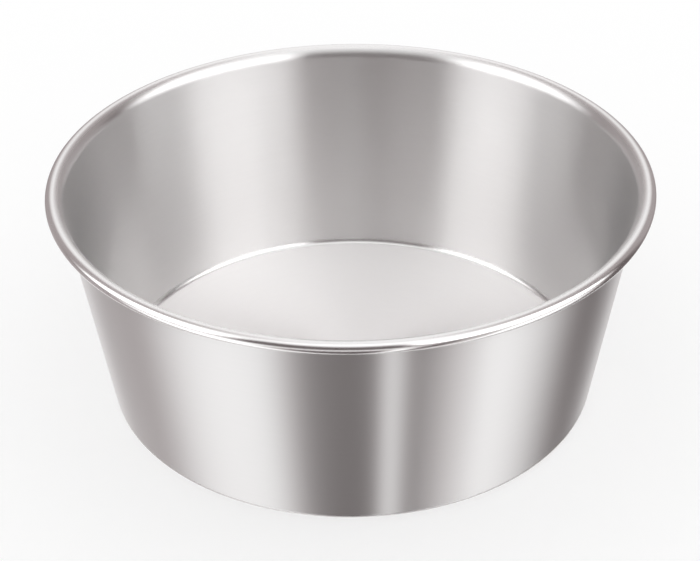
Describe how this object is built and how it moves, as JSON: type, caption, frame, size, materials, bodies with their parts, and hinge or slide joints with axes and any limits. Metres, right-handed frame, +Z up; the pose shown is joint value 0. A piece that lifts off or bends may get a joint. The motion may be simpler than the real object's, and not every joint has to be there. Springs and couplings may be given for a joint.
{
  "type": "air fryer cake pan",
  "caption": "Round tapered cake pan of satin sheet steel with a flat floor, a straight flared wall and a rolled rim, for baking in an air fryer basket.",
  "frame": {"origin": "on the bench under the middle of the pan's floor", "axes": "+Z up along the pan's axis; the pan is round, so X and Y are any two directions across it"},
  "size_m": [0.2, 0.2, 0.0785],
  "materials": {
    "steel": "satin, with fine lines brushed round the axis"
  },
  "bodies": {
    "root": {"pan": "steel"}
  },
  "joints": []
}
